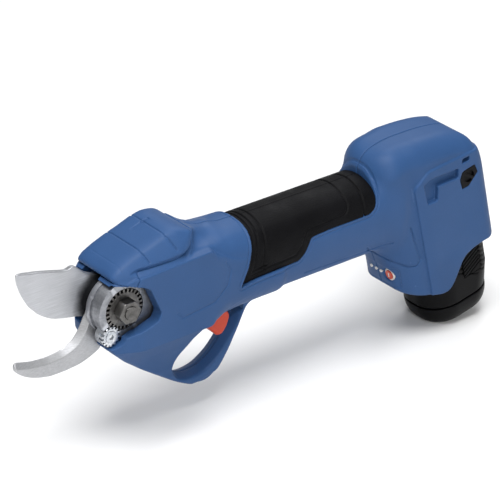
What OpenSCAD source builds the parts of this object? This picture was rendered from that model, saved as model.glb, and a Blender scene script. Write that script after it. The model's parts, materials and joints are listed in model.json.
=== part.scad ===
// Battery electric pruner: a one-hand garden shear with a bypass blade,
// driven through a planetary gear and a bevel sector by a motor in the grip.
// Lengths are millimetres. X runs back along the grip, the blades point to -X,
// Y runs to the tool's right, Z is up. Shapes are drawn about the blade pivot,
// then moved so that the middle of the whole tool is at the origin.

/* [Handle] */
// radius of the round grip before its sides are flattened
handle_r = 26; // [25:0.5:27]
// half of the grip's width across its flat sides
handle_half_w = 23; // [22.5:0.5:24]
// height of the grip's middle above the blade pivot
handle_z = -2; // [-3:0.5:-1]
// thickness of the rubber laid into the grip
rubber_t = 1.6; // [1.2:0.2:2]

/* [Head] */
// half of the head's greatest width
head_half_w = 25.5; // [25:0.5:27]
// half of the finger guard's width
guard_half_w = 8; // [7:0.5:10]

/* [Blades] */
// thickness of the moving cutting blade
cutting_t = 3.2; // [2.6:0.2:3.2]
// thickness of the fixed hook blade
hook_t = 3.6; // [3:0.2:3.6]
// radius of the pivot bolt
bolt_r = 4; // [3.5:0.25:4]
// height of the pivot nut
nut_h = 6.2; // [5.6:0.1:6.6]

/* [Drive] */
// teeth of the whole wheel that the bevel sector is cut from
sector_teeth = 48; // [48]
// teeth of the bevel pinion
pinion_teeth = 10; // [10]
// teeth of the sun gear
sun_teeth = 12; // [12]
// teeth of each planet gear
planet_teeth = 15; // [15]
// module of the planetary teeth
planet_module = 0.7; // [0.7]
// radius of the motor can
motor_r = 17; // [16:0.5:17]
// length of the motor can
motor_len = 50; // [44:1:52]

/* [Battery] */
// lean of the battery housing back from the upright
lean = 12; // [11:0.5:13]
// half of the battery base's width
battery_half_w = 21.5; // [21:0.5:22]
// radius of one battery cell
cell_r = 9.2; // [9:0.1:9.3]
// length of one battery cell
cell_len = 65; // [64:0.5:66]

/* [Hidden] */
// Extents of the tool about the blade pivot, used to centre it on the origin.
tool_front_x = -66.9;
tool_back_x = 280.44;
tool_low_z = -93.13;
tool_high_z = 40.5;
middle_x = (tool_front_x + tool_back_x) / 2;
middle_z = (tool_low_z + tool_high_z) / 2;

// Small gaps: one that lets a shaft turn, one that parts loose pieces.
run_gap = 0.05;
clear_gap = 0.4;
wide = 60;
far = 400;

// Layers across the pivot, from the left hub face to the right gear face.
hub_face_y = -15.6;
disc_floor_y = -8;
hook_y = -4;
cutting_y = 0.1;
sector_back_y = 10;
bush_r = 7;
lock_x = -10.1;
lock_z = -14.4;
hub_r = 17.4;
hub_flange_r = 18.6;
ring_bore_r = 12.9;
disc_r = 12.6;
disc_teeth = 26;
nut_flats = 13;
nut_seat_y = hub_face_y - 0.02;
lock_gear_r = 6.2;
lock_face_y = -16.2;

// Drive sizes.
bevel_module = 1.1;
sector_r = bevel_module * sector_teeth / 2;
sector_in_r = 19;
sector_cone = atan(sector_teeth / pinion_teeth);
pinion_cone = 90 - sector_cone;
tooth_pitch_deg = 360 / sector_teeth;
pinion_pitch_deg = 360 / pinion_teeth;
ring_teeth = sun_teeth + 2 * planet_teeth;
planet_orbit = planet_module * (sun_teeth + planet_teeth) / 2;
gear_w = 7;
gear_x = 54;
carrier_x = 49;
shaft_r = 5;
bearing_x = 31;
bearing_w = 6;
bearing_r = 11;
case_tube_r = 14.5;
motor_x = 70;
motor_end_x = motor_x + motor_len;
motor_shaft_r = 1.6;
gearbox_r = 18;
drive_bay_r = 18.4;

// Battery housing, in its own leaned frame. Its middle is beside the pivot line.
lean_x = 230;
rear_half_w = 25.5;
battery_v = 8.5;
battery_half_v = 25;
battery_low = -94;
battery_seam = -80;
battery_top = -40;
stick_half_v = 20.4;
stick_half_w = 19.6;
stick_top = 7;
cells_low = -68;
latch_z = -55;
latch_v = battery_v + 8;
latch_half_v = 7;
latch_half_h = 10;
latch_t = 3;
button_y = -9;
button_z = -41;
contact_rows = [-6, -2, 2, 6];
cell_places = [[-9.6, -9.4], [-9.6, 9.4], [7, 0]];

// Trigger.
trigger_pin_x = 62;
trigger_pin_z = -29;
trigger_half_w = 6.5;

blue = [0.12, 0.25, 0.52];
black = [0.06, 0.06, 0.07];
steel = [0.68, 0.69, 0.71];
dark_steel = [0.32, 0.32, 0.34];
zinc = [0.78, 0.79, 0.82];
red = [0.78, 0.16, 0.08];

// ---------- helpers ----------

// Moves a shape drawn about the blade pivot into the tool's frame.
module placed() {
    translate([-middle_x, 0, -middle_z]) children();
}

// The frame of the battery housing: local X runs back, local Z up its lean.
module leaned() {
    translate([lean_x, 0, 0]) rotate([0, -lean, 0]) children();
}

// Stands a side-view outline up in the X-Z plane between two Y values.
module side_plate(y0, y1) {
    translate([0, y1, 0]) rotate([90, 0, 0]) linear_extrude(y1 - y0) children();
}

// A round bar along Y.
module y_bar(r, y0, y1) {
    translate([0, y0, 0]) rotate([-90, 0, 0]) cylinder(r = r, h = y1 - y0, $fn = 64);
}

// A round bar along X.
module x_bar(r, x0, x1) {
    translate([x0, 0, 0]) rotate([0, 90, 0]) cylinder(r = r, h = x1 - x0, $fn = 64);
}

// A hexagonal bar along Y, sized by the distance across its flats.
module y_hex(flats, y0, y1) {
    translate([0, y0, 0]) rotate([-90, 0, 0])
        cylinder(r = flats / 2 / cos(30), h = y1 - y0, $fn = 6);
}

// A block given by its two opposite corners.
module block(low, high) {
    translate(low) cube([high[0] - low[0], high[1] - low[1], high[2] - low[2]]);
}

// An upright block with four rounded corners: r at the front, q at the back.
module round_block(x0, x1, half_w, r, q, z0, z1) {
    h = z1 - z0;
    translate([0, 0, z0]) {
        translate([x0 + r, -half_w, 0]) cube([x1 - q - x0 - r, 2 * half_w, h]);
        translate([x0, -half_w + r, 0]) cube([2 * r, 2 * (half_w - r), h]);
        translate([x1 - 2 * q, -half_w + q, 0]) cube([2 * q, 2 * (half_w - q), h]);
        for (side = [-1, 1]) {
            translate([x0 + r, side * (half_w - r), 0]) cylinder(r = r, h = h, $fn = 64);
            translate([x1 - q, side * (half_w - q), 0]) cylinder(r = q, h = h, $fn = 64);
        }
    }
}

// Half of space: side -1 keeps the tool's left, side 1 its right.
module half(side) {
    translate([-far / 2, side > 0 ? 0 : -far, -far / 2]) cube([2 * far, far, far]);
}

// ---------- housing ----------

// Side view of the head and finger guard, below the cover.
module head_outline() {
    polygon([[-13, -22], [-8, -27], [3, -38], [17, -49.5], [31, -59.5], [42, -67],
             [53, -73], [63, -74.6], [69, -72.5], [75, -67], [82, -57], [89, -43],
             [93, -35], [97, -30], [104, -27.9], [104, 20], [62, 23.6], [56, 23.6],
             [4, 21.8], [-9, 20], [-13, 12]]);
}

// Side view of the finger hole and of the pocket that the trigger swings in.
module finger_outline() {
    polygon([[38.6, -57.5], [40, -53], [44, -47.8], [52, -41], [59.4, -34.5], [66, -30.6],
             [80, -28.6], [90, -28.2], [88, -35], [84, -42], [77, -52.5], [70, -59.5],
             [61, -64.6], [51, -65.6], [43, -63.2]]);
}

// Section of the head across the tool, wide at the side panels, narrow below.
module head_section() {
    w = head_half_w;
    polygon([[-w + 1.5, 30], [-w, 20], [-w, -12], [-w + 5, -24], [-14, -44],
             [-guard_half_w, -60], [-guard_half_w, -80], [guard_half_w, -80],
             [guard_half_w, -60], [14, -44], [w - 5, -24], [w, -12], [w, 20], [w - 1.5, 30]]);
}

// Plan of the head: it tapers to the blades in front and to the grip behind.
module head_plan() {
    w = head_half_w;
    h = handle_half_w - 0.4;
    polygon([[-14, -17], [-7, -19], [6, -w], [58, -w], [80, -h], [105, -h],
             [105, h], [80, h], [58, w], [6, w], [-7, 19], [-14, 17]]);
}

module head_solid() {
    intersection() {
        side_plate(-wide, wide) head_outline();
        rotate([90, 0, 90]) translate([0, 0, -20]) linear_extrude(140) head_section();
        translate([0, 0, -100]) linear_extrude(160) head_plan();
    }
}

module handle_solid(r, w, x0, x1) {
    intersection() {
        translate([0, 0, handle_z]) x_bar(r, x0, x1);
        block([x0, -w, -wide], [x1, w, wide]);
    }
}

// Side view of the battery housing, with the cut-out that bares the latches.
module rear_outline() {
    polygon([[176, 12], [178.5, 30], [183, 35.5], [192, 39], [205, 40.5], [228, 40.5],
             [245, 39.3], [256, 35], [263, 27.5], [267, 15], [271, 0], [277, -28],
             [278.4, -37], [262, -38.5], [250, -43], [246, -51], [241, -61.5], [236, -65],
             [222, -63.6], [208, -60.5], [202, -57], [198, -44], [192, -31], [184, -24],
             [176, -12]]);
}

module rear_solid() {
    intersection() {
        side_plate(-wide, wide) rear_outline();
        leaned() round_block(-46, 41, rear_half_w, 21, 11, -100, 60);
    }
}

// The space that the bevel sector swings through, and its round middle.
module sector_sweep() {
    intersection() {
        y_bar(sector_r + 2.2, -9, sector_back_y + 1.2);
        block([1, -wide, -wide], [wide, wide, wide]);
    }
    y_bar(19.6, -9, sector_back_y + 1.2);
}

// All that is hollow inside the two shells.
module housing_hollow() {
    // hub window on the left, bolt well on the right, slot for the blades in front
    y_bar(hub_flange_r + 1.4, -wide, -3.6);
    y_bar(hub_flange_r + 1.4, -4, 16.4);
    block([-wide, -4.4, -wide], [-3, 10.6, 19.6]);
    translate([lock_x, 0, lock_z]) y_bar(7, -wide, -3.6);
    // bevel sector, which swings from below to above the grip's axis
    sector_sweep();
    // gear case neck and bearing tube
    block([4, -17, -15.4], [45.5, -6, 15.4]);
    x_bar(case_tube_r + 1, 26, 46);
    // planetary gear and motor
    x_bar(drive_bay_r, 44, motor_end_x + 8);
    // trigger switch and trigger
    block([66, -7.4, -34.5], [90, 7.4, -17]);
    side_plate(-7.4, 7.4)
        polygon([[57.6, -40], [57.6, -24], [70, -24], [88, -30], [88, -34], [76, -46],
                 [63, -40]]);
    // light pockets between ribs: in the keel of the head, round the motor, in the dome
    side_plate(-11, 11)
        polygon([[17, -34], [22, -42], [28, -45], [38, -42], [50, -34], [54, -29], [52, -24],
                 [22, -25]]);
    for (x = [74 : 10 : 114])
        handle_solid(handle_r - 3.8, handle_half_w - 3.6, x, x + 8);
    handle_solid(handle_r - 3.8, handle_half_w - 3.6, motor_end_x + 10, 170);
    side_plate(-18, 18)
        polygon([[196, 26], [206, 35.5], [243, 34.5], [248, 30], [249, 20], [225, 22],
                 [196, 22]]);
    // leads run back to the control board
    x_bar(9, motor_end_x, 214);
    leaned() {
        // battery bay, open below
        round_block(battery_v - stick_half_v - 0.5, battery_v + stick_half_v + 0.5,
                    stick_half_w + 0.5, 9, 9, -100, stick_top + 0.6);
        block([-10.2, -9.2, stick_top - 1], [20.2, 9.2, 17.2]);
        round_block(battery_v - battery_half_v - 0.5, battery_v + battery_half_v + 0.5,
                    battery_half_w + 0.5, 12, 12, -100, battery_top + 0.5);
        // board bay in the nose
        round_block(-36, -13.5, 19, 12, 3, -46, 26);
    }
}

// Places of the screws that hold the shells together.
screw_places = [[10, -36], [33, -51], [100, -23.6], [175, -22.5], [186, 24], [256, 27]];

module screw_bores(side) {
    for (at = screw_places)
        translate([at[0], 0, at[1]])
            if (side > 0) {
                y_bar(1.7, -1, 16);
                y_bar(3.2, 8, wide);
            } else {
                y_bar(1.3, -7.7, 1);
            }
}

// The strip of the grip that the rubber lies in, seen from the side.
module rubber_outline() {
    polygon([[89, 40], [88, 20], [86, 12], [83, 3], [77, -9.4], [89, -8], [121.8, -6.8],
             [126.4, -3], [131.4, 5.4], [145, 6.2], [174, 6.6], [178, 10], [180, 15],
             [180, 21], [177.6, 40]]);
}

module shell(side) {
    difference() {
        intersection() {
            union() {
                head_solid();
                handle_solid(handle_r, handle_half_w, 70, 200);
                rear_solid();
            }
            half(side);
        }
        housing_hollow();
        side_plate(-wide, wide) finger_outline();
        screw_bores(side);
        // bed of the rubber
        intersection() {
            side_plate(-wide, wide) rubber_outline();
            difference() {
                x_bar(wide, 76, 181);
                handle_solid(handle_r - rubber_t, handle_half_w - rubber_t, 70, 190);
            }
        }
        side_details(side);
    }
}

// Pockets in one outer side: panel slot, angled vent, strap pocket, power button.
module side_details(side) {
    outer = side > 0 ? [rear_half_w - 2.6, wide] : [-wide, 2.6 - rear_half_w];
    side_plate(outer[0], outer[1]) {
        polygon([[214.2, 15.1], [218.8, 17.9], [241.4, 18.6], [241.6, 12.4],
                 [225.4, 11.7], [225.6, 2], [217.8, 1.6]]);
        polygon([[243.6, 24.8], [249.6, 25.6], [250.4, 20.4], [244.4, 19.6]]);
        strap_outline(0);
    }
    leaned() {
        if (side < 0)
            translate([-60, button_y, button_z]) x_bar(4.1, 0, 32);
        lamp_bars(1.05, -60, -28);
    }
}

module left_housing() {
    color(blue) placed() shell(-1);
}

module right_housing() {
    color(blue) placed() shell(1);
}

// Side view of the cover over the gears.
module cover_outline() {
    polygon([[-9, 20.3], [4, 22.1], [56, 23.9], [66, 23.4], [60, 27], [52.3, 32.6],
             [45.2, 36.9], [38.2, 39.6], [32.5, 40.3], [27.6, 38.8], [18.4, 35.6],
             [9.2, 32.8], [1.5, 30], [-5, 27], [-9.6, 23]]);
}

module cover_section() {
    w = head_half_w - 0.6;
    polygon([[-w, 16], [-w, 26.6], [-w + 2.6, 32], [-16.4, 38.8], [-10, 41.6],
             [10, 41.6], [16.4, 38.8], [w - 2.6, 32], [w, 26.6], [w, 16]]);
}

module cover_plan() {
    w = head_half_w;
    polygon([[-14, -15], [-8, -17.6], [8, -w], [37, -w], [43, -24], [49, -19.6], [57, -13],
             [67, -8], [67, 8], [57, 13], [49, 19.6], [43, 24], [37, w], [8, w],
             [-8, 17.6], [-14, 15]]);
}

module head_cover() {
    color(blue) placed() difference() {
        intersection() {
            side_plate(-wide, wide) cover_outline();
            rotate([90, 0, 90]) translate([0, 0, -20]) linear_extrude(100) cover_section();
            linear_extrude(60) cover_plan();
        }
        // hollow above the swinging sector
        sector_sweep();
        block([14, -14, 20], [46, 14, 31]);
        // grooves across the top
        for (at = [[12, 32.8], [28, 38]])
            block([at[0] - 0.4, -wide, at[1]], [at[0] + 0.4, wide, wide]);
    }
}

module grip(side) {
    color(black) placed() difference() {
        intersection() {
            side_plate(-wide, wide) rubber_outline();
            difference() {
                handle_solid(handle_r, handle_half_w, 76, 181);
                handle_solid(handle_r - rubber_t + 0.02, handle_half_w - rubber_t + 0.02, 75, 182);
            }
            half(side);
        }
        // two grooves round the front and one round the back
        for (x = [93, 97, 165])
            difference() {
                block([x - 0.5, -wide, -8], [x + 0.5, wide, wide]);
                handle_solid(handle_r - 0.7, handle_half_w - 0.7, x - 1, x + 1);
            }
        rear_solid();
    }
}

module left_grip() {
    grip(-1);
}

module right_grip() {
    grip(1);
}

module housing_screws() {
    color(steel) placed() for (at = screw_places)
        translate([at[0], 0, at[1]]) difference() {
            union() {
                y_bar(1.25, -7.5, 9);
                y_bar(2.9, 8.2, 10.6);
            }
            y_hex(2.4, 9.4, 11);
        }
}

// ---------- head frame, pivot and blades ----------

module gear_case() {
    color(dark_steel) placed() difference() {
        union() {
            y_bar(hub_r, hub_face_y, -6);
            y_bar(hub_flange_r, -7.6, hook_y - 0.02);
            block([0, -15.6, -13], [44, -6.6, 13]);
            x_bar(case_tube_r, 29.5, 44);
        }
        // well of the lock disc, and the bolt's bore
        y_bar(ring_bore_r, -20, disc_floor_y);
        y_bar(bolt_r + run_gap, -20, 0);
        // open seat of the lock gear
        translate([lock_x, 0, lock_z]) y_bar(lock_gear_r + 0.4, -20, -9);
        translate([lock_x, 0, lock_z]) y_bar(1.6, -20, 0);
        // bore through the bearing tube
        x_bar(bearing_r + 0.01, bearing_x - 0.05, 50);
        x_bar(8, 20, 50);
        // room for the bevel pinion
        x_bar(8, 12, 31);
        hook_screw_bores(1.7);
    }
}

module hook_screw_bores(r) {
    for (at = [[9.5, 9.5], [9.5, -9.5]])
        translate([at[0], 0, at[1]]) y_bar(r, -7.6, 0);
}

// Side view of the fixed hook blade, from its tip round to its pivot disc.
module hook_outline() {
    difference() {
        union() {
            circle(r = 14.6, $fn = 96);
            polygon([[-12, 9.4], [-16.4, -2], [-19.6, -7.7], [-22.5, -13.2], [-27.5, -18.6],
                     [-34.5, -21.3], [-44.7, -22.2], [-54.9, -21.2], [-61.6, -19.5],
                     [-64.8, -18.4], [-66.7, -19.6], [-66.9, -23.4], [-60.3, -28.3],
                     [-53.7, -31.2], [-44.3, -33.5], [-34, -33.6], [-23.6, -32.7],
                     [-16.6, -30.6], [-9.5, -27.4], [-4, -18], [4, -12]]);
        }
        circle(r = bolt_r + run_gap, $fn = 64);
    }
}

module hook_blade() {
    color(steel) placed() difference() {
        side_plate(hook_y, hook_y + hook_t) hook_outline();
        hook_screw_bores(1.7);
    }
}

module hook_screws() {
    color(steel) placed() for (at = [[9.5, 9.5], [9.5, -9.5]])
        translate([at[0], 0, at[1]]) y_bar(1.6, -7.5, hook_y + hook_t);
}

// Side view of the moving blade, open, from its tip to its pivot disc.
module cutting_outline() {
    polygon([[-61.7, 34.2], [-61.9, 31], [-61.3, 28.4], [-58.9, 21.5], [-54.6, 13.2],
             [-48.1, 6], [-41.6, 1.4], [-36.2, -1], [-30.1, -2.6], [-24.7, -3.6],
             [-19, -5], [-12, -8], [0, -14.6], [10, -10], [14, 4], [6, 13.4],
             [-6, 17.6], [-14, 20.6], [-20.9, 27], [-23.6, 28.2], [-27.8, 26.6],
             [-36, 29], [-46.4, 31.8], [-53.7, 33.2], [-60.8, 35.2]]);
}

module cutting_blade() {
    color(steel) placed() difference() {
        side_plate(cutting_y, cutting_y + cutting_t) cutting_outline();
        y_bar(bush_r + run_gap, -1, 10);
        sector_screw_places() y_bar(1.5, -1, 10);
        // ground bevel along the cutting edge, on the right face only
        for (cut = [[-62, 30, -68], [-55.5, 14.8, -54], [-46, 4.6, -32], [-33, -2, -12]])
            translate([cut[0], cutting_y + 0.5, cut[1]]) rotate([0, -cut[2], 0])
                rotate([24, 0, 0]) block([-10, 0, -6], [10, 9, 0]);
    }
}

module sector_screw_places() {
    for (turn = [40, 140, 270])
        rotate([0, turn, 0]) translate([10.6, 0, 0]) children();
}

// Keeps one side of a plane through the apex: the plane holds the tooth line at
// the cone angle, turned about the axis by turn and tipped by press.
module flank(turn, cone, press, side) {
    rotate([0, turn, 0]) rotate([0, 0, 90 - cone]) rotate([press, 0, 0])
        block([0, -20, side > 0 ? 0 : -20], [60, 20, side > 0 ? 20 : 0]);
}

// One space between teeth, tapering to the apex at the origin.
module tooth_space(turn, cone, half_gap, press, root_cone) {
    intersection() {
        flank(turn + half_gap, cone, press, 1);
        flank(turn - half_gap, cone, -press, -1);
        rotate([0, turn, 0]) rotate([0, 0, 90 - root_cone])
            block([0, -20, -20], [60, 0, 20]);
    }
}

module bevel_sector() {
    root_cone = sector_cone - 3.1;
    tip_cone = sector_cone + 2.1;
    face_y = cutting_y + cutting_t + 0.02;
    in_y = sector_in_r / tan(tip_cone);
    out_y = sector_r / tan(tip_cone);
    color(dark_steel) placed() difference() {
        rotate([-90, 0, 0]) rotate_extrude($fn = 180)
            polygon([[bush_r + run_gap, face_y], [17, face_y], [sector_in_r - 0.8, 6.2],
                     [sector_in_r, in_y], [sector_r, out_y], [sector_r + 0.5, out_y + 1],
                     [sector_r + 0.5, sector_back_y - 1], [sector_r - 0.5, sector_back_y],
                     [bush_r + run_gap, sector_back_y]]);
        // only the part near the pinion keeps its full radius
        difference() {
            y_bar(sector_r + 2, -2, 20);
            y_bar(15.4, -3, 21);
            side_plate(-4, 22) polygon([[0, 0], [60, 22], [60, -40], [14, -44]]);
        }
        for (k = [-4 : 9])
            tooth_space(k * tooth_pitch_deg, sector_cone, tooth_pitch_deg / 4 + 0.45, 22,
                        root_cone);
        sector_screw_places() y_bar(1.5, -1, 20);
    }
}

module sector_screws() {
    color(steel) placed() sector_screw_places() {
        y_bar(1.48, cutting_y + 0.3, sector_back_y + 0.02);
        y_bar(2.4, sector_back_y + 0.02, sector_back_y + 1);
    }
}

module pivot_bolt() {
    color(dark_steel) placed() difference() {
        union() {
            y_bar(bolt_r, nut_seat_y - nut_h - 0.6, 12);
            y_hex(nut_flats, 11.4, 15.6);
        }
        y_hex(5, 13.6, 16);
    }
}

module pivot_bush() {
    color([0.7, 0.55, 0.3]) placed() difference() {
        y_bar(bush_r, -0.35, 11.35);
        y_bar(bolt_r + run_gap, -1, 12);
    }
}

module pivot_nut() {
    color(dark_steel) placed() difference() {
        intersection() {
            y_hex(nut_flats, nut_seat_y - nut_h, nut_seat_y);
            y_bar(nut_flats / 2 + 0.7, -40, 0);
        }
        y_bar(bolt_r + 0.01, -40, 0);
    }
}

// Ring of square teeth that the lock gear holds.
module lock_disc() {
    color(dark_steel) placed() difference() {
        y_bar(disc_r, hub_face_y, disc_floor_y - 0.02);
        y_bar(bolt_r + 0.02, -40, 0);
        for (k = [0 : disc_teeth - 1])
            rotate([0, k * 360 / disc_teeth, 0])
                block([disc_r - 2.2, -40, -0.75], [disc_r + 1, 0, 0.75]);
        // the lock gear's edge sits in this notch
        translate([lock_x, 0, lock_z]) y_bar(lock_gear_r + 0.1, -40, 0);
    }
}

module lock_gear() {
    color(zinc) placed() translate([lock_x, 0, lock_z]) difference() {
        y_bar(lock_gear_r, lock_face_y, -9.02);
        for (k = [0 : 13])
            rotate([0, k * 360 / 14, 0])
                block([lock_gear_r - 1.1, -40, -0.6], [lock_gear_r + 1, -12.6, 0.6]);
        y_bar(1.62, -40, 0);
        y_bar(3.6, -40, lock_face_y + 1);
    }
}

module lock_screw() {
    color(zinc) placed() translate([lock_x, 0, lock_z]) difference() {
        union() {
            y_bar(1.58, lock_face_y, -6);
            y_bar(3.5, lock_face_y - 0.5, lock_face_y + 0.98);
        }
        y_hex(3, -18, lock_face_y + 0.5);
    }
}

// ---------- drive ----------

// Outline of a spur gear with slim straight-sided teeth.
function gear_points(teeth, m, add, ded, thin) = [
    for (k = [0 : teeth - 1], s = [[-0.5, -1], [-0.27, 0], [-0.12, 1], [0.12, 1], [0.27, 0], [0.5, -1]])
        let (r = m * teeth / 2 + (s[1] > 0 ? add * m : s[1] < 0 ? -ded * m : 0),
             a = 360 / teeth * (k + s[0] * (s[1] == 0 ? 1 - thin : s[1] > 0 ? 1 - thin : 0.86)))
        [r * cos(a), r * sin(a)]];

module spur_gear(teeth, m, add, ded, thin, w) {
    linear_extrude(w) polygon(gear_points(teeth, m, add, ded, thin));
}

module planet_places() {
    for (k = [0 : 2])
        rotate([k * 120, 0, 0]) translate([0, 0, planet_orbit]) children();
}

module planet_carrier() {
    color(steel) placed() difference() {
        union() {
            x_bar(2, 20, 29);
            x_bar(shaft_r, 28, carrier_x + 1);
            x_bar(13.2, carrier_x, gear_x - 0.6);
            planet_places() x_bar(1.5, carrier_x, gear_x + gear_w + 0.4);
        }
        x_bar(2.6, gear_x - 3, gear_x + 1);
    }
}

module bevel_pinion() {
    tip = pinion_cone + 2.2;
    root = pinion_cone - 2.6;
    x0 = 19.4;
    x1 = 27.98;
    color(dark_steel) placed() difference() {
        rotate([0, 0, -90]) rotate([-90, 0, 0]) rotate_extrude($fn = 120)
            polygon([[0, x0], [x0 * tan(tip), x0], [sector_r * tan(tip), sector_r],
                     [5.2, x1], [0, x1]]);
        rotate([0, 0, -90]) for (k = [0 : pinion_teeth - 1])
            tooth_space((k + 0.5) * pinion_pitch_deg, pinion_cone, pinion_pitch_deg / 4 + 3,
                        24, root);
        x_bar(2.02, 10, 40);
    }
}

module output_bearing() {
    color(steel) placed() {
        difference() {
            x_bar(bearing_r, bearing_x, bearing_x + bearing_w);
            x_bar(9.2, bearing_x - 1, bearing_x + bearing_w + 1);
        }
        difference() {
            x_bar(7, bearing_x, bearing_x + bearing_w);
            x_bar(shaft_r + run_gap, bearing_x - 1, bearing_x + bearing_w + 1);
        }
        difference() {
            x_bar(9.21, bearing_x + 2, bearing_x + 4);
            x_bar(6.99, bearing_x + 1, bearing_x + 5);
        }
    }
}

module ring_gear() {
    color(dark_steel) placed() difference() {
        x_bar(gearbox_r, 44.2, gear_x + gear_w + 0.6);
        x_bar(13.8, 40, gear_x - 0.3);
        translate([gear_x - 0.4, 0, 0]) rotate([0, 90, 0]) rotate([0, 0, 180 / ring_teeth])
            linear_extrude(20) polygon(ring_points());
    }
}

// Outline of the space inside the ring gear: its teeth point inwards.
function ring_points() = [
    for (k = [0 : ring_teeth - 1], s = [[-0.36, -1], [-0.27, 0], [-0.17, 1], [0.17, 1], [0.27, 0], [0.36, -1]])
        let (m = planet_module,
             r = m * ring_teeth / 2 + (s[1] > 0 ? 1.25 * m : s[1] < 0 ? -0.8 * m : 0),
             a = 360 / ring_teeth * (k + s[0]))
        [r * cos(a), r * sin(a)]];

module planet_gear(k) {
    color(steel) placed() rotate([k * 120, 0, 0]) translate([gear_x, 0, planet_orbit])
        rotate([0, 90, 0]) difference() {
            spur_gear(planet_teeth, planet_module, 0.8, 1.2, 0.2, gear_w);
            translate([0, 0, -1]) cylinder(r = 1.5 + run_gap, h = gear_w + 2, $fn = 48);
        }
}

module planet_gear_1() {
    planet_gear(0);
}

module planet_gear_2() {
    planet_gear(1);
}

module planet_gear_3() {
    planet_gear(2);
}

module sun_gear() {
    color(steel) placed() translate([gear_x, 0, 0]) rotate([0, 90, 0]) difference() {
        rotate([0, 0, 180 / sun_teeth])
            spur_gear(sun_teeth, planet_module, 0.8, 1.2, 0.2, gear_w + 2);
        translate([0, 0, -1]) cylinder(r = motor_shaft_r + 0.02, h = gear_w + 4, $fn = 48);
    }
}

module gearbox_plate() {
    color(dark_steel) placed() difference() {
        x_bar(gearbox_r, gear_x + gear_w + 0.65, motor_x - 0.02);
        x_bar(5.6, 50, motor_x + 1);
        for (turn = [45 : 90 : 315])
            rotate([turn, 0, 0]) translate([0, 0, 12]) x_bar(1.4, 50, motor_x + 1);
    }
}

module motor_can() {
    color(steel) placed() difference() {
        x_bar(motor_r, motor_x, motor_end_x - 6);
        x_bar(motor_r - 1.2, motor_x + 2, motor_end_x);
        x_bar(3.2, motor_x - 1, motor_x + 4);
        for (turn = [45 : 90 : 315])
            rotate([turn, 0, 0]) translate([0, 0, 12]) x_bar(1.4, motor_x - 1, motor_x + 4);
    }
}

module motor_stator() {
    color(dark_steel) placed() difference() {
        x_bar(motor_r - 1.22, motor_x + 9, motor_end_x - 12);
        x_bar(8, motor_x, motor_end_x);
        for (k = [0 : 5])
            rotate([30 + k * 60, 0, 0]) {
                block([motor_x, -3.4, 9.4], [motor_end_x, 3.4, 13.2]);
                block([motor_x, -0.8, 6], [motor_end_x, 0.8, 10]);
            }
    }
}

module motor_windings() {
    color([0.72, 0.4, 0.2]) placed() for (k = [0 : 5])
        rotate([30 + k * 60, 0, 0])
            block([motor_x + 6, -3.2, 9.6], [motor_end_x - 9, 3.2, 13]);
}

module motor_rotor() {
    color(dark_steel) placed() {
        x_bar(motor_shaft_r, gear_x - 1.4, motor_end_x - 1);
        x_bar(7.5, motor_x + 9, motor_end_x - 12);
    }
}

module motor_end_cap() {
    color(black) placed() difference() {
        x_bar(motor_r, motor_end_x - 5.98, motor_end_x);
        x_bar(motor_r - 3, motor_end_x - 7, motor_end_x - 3);
        x_bar(motor_shaft_r + run_gap, motor_end_x - 8, motor_end_x + 1);
    }
}

// ---------- trigger ----------

module trigger_outline() {
    polygon([[58.6, -31], [58.6, -34.6], [63, -38], [68, -42.8], [72, -46.2], [75.6, -45.2],
             [79.4, -40.5], [81.4, -33.6], [81, -29.4], [70, -25.6], [62, -25.4]]);
}

module trigger() {
    color(red) placed() difference() {
        side_plate(-trigger_half_w, trigger_half_w) trigger_outline();
        translate([trigger_pin_x, 0, trigger_pin_z]) y_bar(1.5 + run_gap, -10, 10);
        // pocket for the return spring
        block([73, -2.8, -36], [85, 2.8, -31]);
        // shallow rib lines across the finger face
        for (k = [0 : 2])
            translate([62.6 + 3.4 * k, 0, -38.4 - 2.9 * k]) y_bar(0.5, -10, 10);
    }
}

module trigger_pin() {
    color(steel) placed() translate([trigger_pin_x, 0, trigger_pin_z]) y_bar(1.5, -7.3, 7.3);
}

module trigger_spring() {
    color(steel) placed() for (k = [0 : 5])
        translate([75.5 + 1.9 * k, 0, -33.6]) difference() {
            x_bar(2.2, 0, 0.8);
            x_bar(1.5, -1, 2);
        }
}

module trigger_switch() {
    color(black) placed() {
        block([70, -4, -23.8], [87, 4, -19]);
        block([72, -1.5, -24.1], [75, 1.5, -23.8]);
    }
}

// ---------- controls and wiring ----------

module control_board() {
    color([0.08, 0.3, 0.16]) placed() leaned()
        block([-27.6, -15, -45.4], [-26, 15, 22]);
}

module board_parts() {
    color([0.16, 0.16, 0.18]) placed() leaned() {
        for (z = [-4, 4])
            translate([-25.98, 0, z]) {
                block([0, -11, -2], [3, -5, 4]);
                block([0, 5, -2], [3, 11, 4]);
            }
        for (y = [-7, 7])
            translate([-25.98, y, -18]) x_bar(5, 0, 9);
        block([-25.98, -6, 12], [-23.6, 6, 19]);
        block([-30.6, button_y - 3, button_z - 3], [-27.62, button_y + 3, button_z + 3]);
    }
}

module power_button() {
    color(red) placed() leaned() translate([0, button_y, button_z]) {
        x_bar(3, -37.4, -32.6);
        x_bar(3.8, -33.4, -32.4);
    }
}

module button_bezel() {
    color([0.85, 0.75, 0.7]) placed() leaned() translate([0, button_y, button_z])
        difference() {
            x_bar(4.08, -36.8, -34.4);
            x_bar(3.15, -38, -33);
        }
}

module lamp_bars(r, x0, x1) {
    for (y = [6, 1.5, -3])
        translate([0, y, button_z + 1]) x_bar(r, x0, x1);
}

module charge_lamps() {
    color([0.9, 0.9, 0.88]) placed() leaned() lamp_bars(1, -38.6, -33.4);
}

module contact_block() {
    color(black) placed() leaned() difference() {
        block([-10, -9, stick_top + 0.8], [20, 9, 17]);
        for (y = contact_rows)
            block([-8, y - 0.6, stick_top], [10, y + 0.6, 13]);
    }
}

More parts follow.
